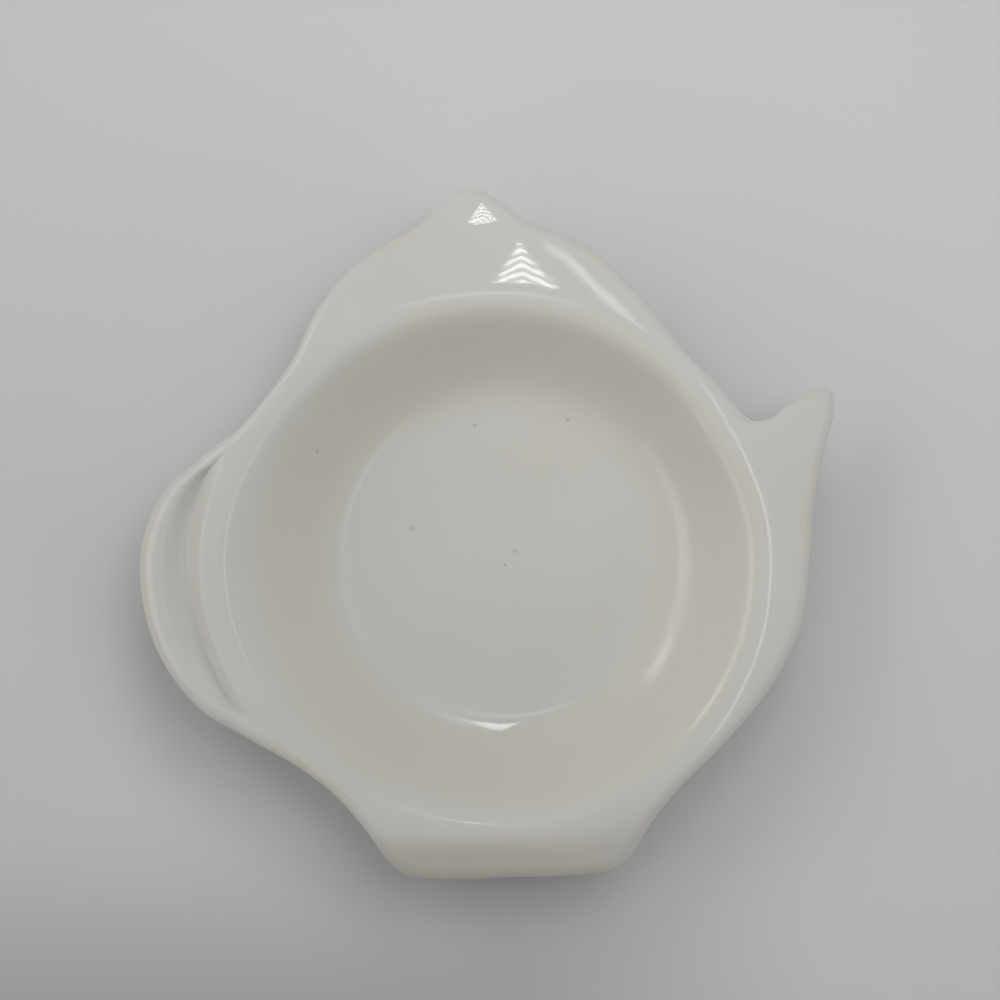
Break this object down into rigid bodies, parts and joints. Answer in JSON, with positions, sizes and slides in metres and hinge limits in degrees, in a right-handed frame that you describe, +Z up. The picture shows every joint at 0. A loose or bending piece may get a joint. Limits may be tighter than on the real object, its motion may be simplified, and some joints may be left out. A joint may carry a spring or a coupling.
{
  "type": "tea bag rest",
  "caption": "Shallow teapot-shaped ceramic dish for a used tea bag, cast in one piece with a round well, a rolled lip, a hollowed handle and a foot ring.",
  "frame": {"origin": "centre of the foot ring, on the plane that the dish stands on; the well is centred over it", "axes": "+X from the handle to the spout, +Y from the foot to the knob, +Z up out of the well"},
  "size_m": [0.1157, 0.1149, 0.016],
  "materials": {
    "glaze": "clear gloss over warm white clay, bare on the foot ring"
  },
  "bodies": {
    "root": {"dish_body": "glaze"}
  },
  "joints": []
}
